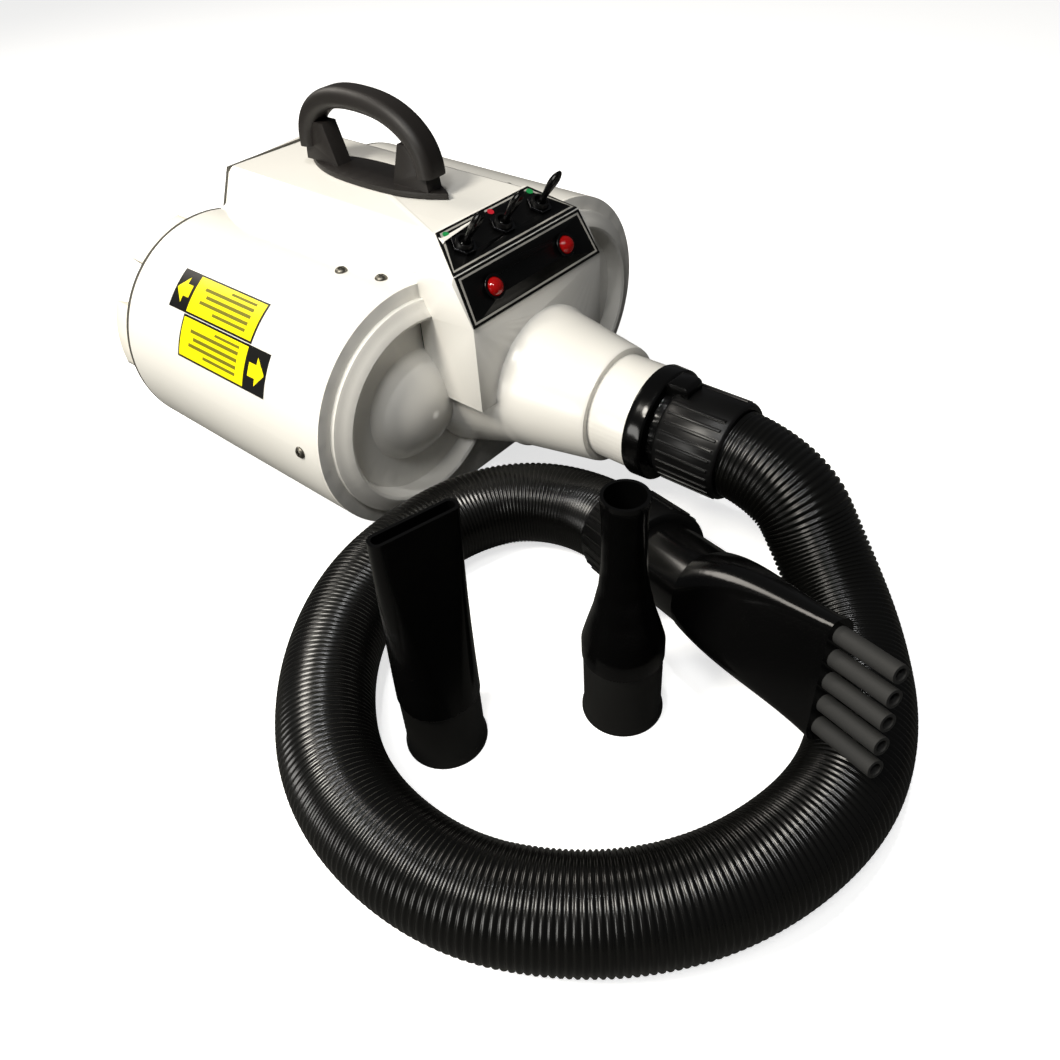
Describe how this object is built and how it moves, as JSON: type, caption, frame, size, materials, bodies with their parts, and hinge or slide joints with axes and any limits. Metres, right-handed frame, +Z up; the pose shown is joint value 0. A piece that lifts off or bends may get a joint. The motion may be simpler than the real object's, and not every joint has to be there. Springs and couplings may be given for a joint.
{
  "type": "pet dryer",
  "caption": "Table-top pet dryer with side-by-side motor barrels, a sloped switch panel, a carry handle, a ribbed hose ending in a claw nozzle, and loose flat and round nozzles.",
  "frame": {"origin": "on the floor under the middle of the box around the machine and its loose nozzles, the free hose and what is on it left out", "axes": "+Z up, -Y the way the air outlet points, +X to the right of someone behind the machine"},
  "size_m": [0.4641, 0.5785, 0.245],
  "materials": {
    "white_enamel": "smooth gloss enamel",
    "white_plastic": "moulded gloss",
    "cap_plastic": "moulded satin",
    "panel_black": "printed satin plate",
    "black_gloss": "moulded gloss",
    "black_satin": "moulded satin",
    "grip_black": "fine grained",
    "hose_black": "ribbed",
    "finger_rubber": "matt",
    "rubber": "matt",
    "lens_red": "translucent red",
    "mark_green": "printed dot",
    "mark_red": "printed dot",
    "label_yellow": "printed film",
    "chrome": "plated",
    "zinc_steel": "zinc plated",
    "iron": "laminated",
    "copper": "enamelled wire",
    "foam": "open cell",
    "board_green": "coated board",
    "film_blue": "wrapped film",
    "nichrome": "drawn wire",
    "mica": "pressed sheet"
  },
  "bodies": {
    "machine": {"barrel_shell": "white_enamel", "front_cover": "white_plastic", "rear_cover": "white_plastic", "rear_gasket": "rubber", "panel_upper": "panel_black", "panel_lower": "panel_black", "marks_green": "mark_green", "mark_red": "mark_red", "toggle_bodies": "black_satin", "toggle_nuts": "chrome", "lamp_lenses": "lens_red", "lamp_bezels": "black_gloss", "outlet_sleeve": "white_plastic", "hose_collar": "black_gloss", "hose_cuff_machine": "black_satin", "hose": "hose_black", "hose_cuff_tool": "black_satin", "claw_body": "black_gloss", "claw_fingers": "finger_rubber", "mains_inlet": "black_satin", "bulkhead": "zinc_steel", "heater_coil": "nichrome", "heater_frame": "mica", "thermostat": "zinc_steel", "control_board": "board_green", "capacitor": "film_blue", "handle_grip": "grip_black", "handle_base": "black_satin", "shell_screws": "zinc_steel", "feet": "rubber", "foot_screws": "zinc_steel", "label_upper": "label_yellow", "label_lower": "label_yellow", "motor_gasket_near": "rubber", "fan_shell_near": "zinc_steel", "motor_frame_near": "black_satin", "stator_near": "iron", "brushes_near": "black_satin", "motor_gasket_far": "rubber", "fan_shell_far": "zinc_steel", "motor_frame_far": "black_satin", "stator_far": "iron", "brushes_far": "black_satin"},
    "toggle_left": {"toggle_lever_left": "black_gloss"},
    "toggle_centre": {"toggle_lever_centre": "black_gloss"},
    "toggle_right": {"toggle_lever_right": "black_gloss"},
    "rotor_near": {"armature_near": "iron", "impeller_near": "zinc_steel"},
    "rotor_far": {"armature_far": "iron", "impeller_far": "zinc_steel"},
    "cap_near": {"intake_cap_near": "cap_plastic", "filter_foam_near": "foam"},
    "cap_far": {"intake_cap_far": "cap_plastic", "filter_foam_far": "foam"},
    "flat_nozzle": {"flat_nozzle": "black_gloss"},
    "round_nozzle": {"round_nozzle": "black_gloss"}
  },
  "joints": [
    {"name": "toggle_left_tilt", "type": "hinge", "parent": "machine", "child": "toggle_left", "pos_m": [0.00133, -0.01695, 0.18317], "axis": [1, 0, 0], "range_deg": [-21.2, 0]},
    {"name": "toggle_centre_tilt", "type": "hinge", "parent": "machine", "child": "toggle_centre", "pos_m": [0.03583, -0.01695, 0.18317], "axis": [1, 0, 0], "range_deg": [-21.2, 0]},
    {"name": "toggle_right_tilt", "type": "hinge", "parent": "machine", "child": "toggle_right", "pos_m": [0.07033, -0.01695, 0.18317], "axis": [1, 0, 0], "range_deg": [-21.2, 0]},
    {"name": "rotor_near_spin", "type": "hinge", "parent": "machine", "child": "rotor_near", "pos_m": [-0.03967, 0.1066, 0.087], "axis": [0, 1, 0], "continuous": true},
    {"name": "rotor_far_spin", "type": "hinge", "parent": "machine", "child": "rotor_far", "pos_m": [0.11133, 0.1066, 0.087], "axis": [0, 1, 0], "continuous": true},
    {"name": "cap_near_pull", "type": "slide", "parent": "machine", "child": "cap_near", "axis": [0, 1, 0], "range_m": [0, 0.05]},
    {"name": "cap_far_pull", "type": "slide", "parent": "machine", "child": "cap_far", "axis": [0, 1, 0], "range_m": [0, 0.05]},
    {"name": "flat_nozzle_lift", "type": "slide", "parent": "machine", "child": "flat_nozzle", "axis": [0, 0, 1], "range_m": [0, 0.2]},
    {"name": "round_nozzle_lift", "type": "slide", "parent": "machine", "child": "round_nozzle", "axis": [0, 0, 1], "range_m": [0, 0.2]}
  ]
}
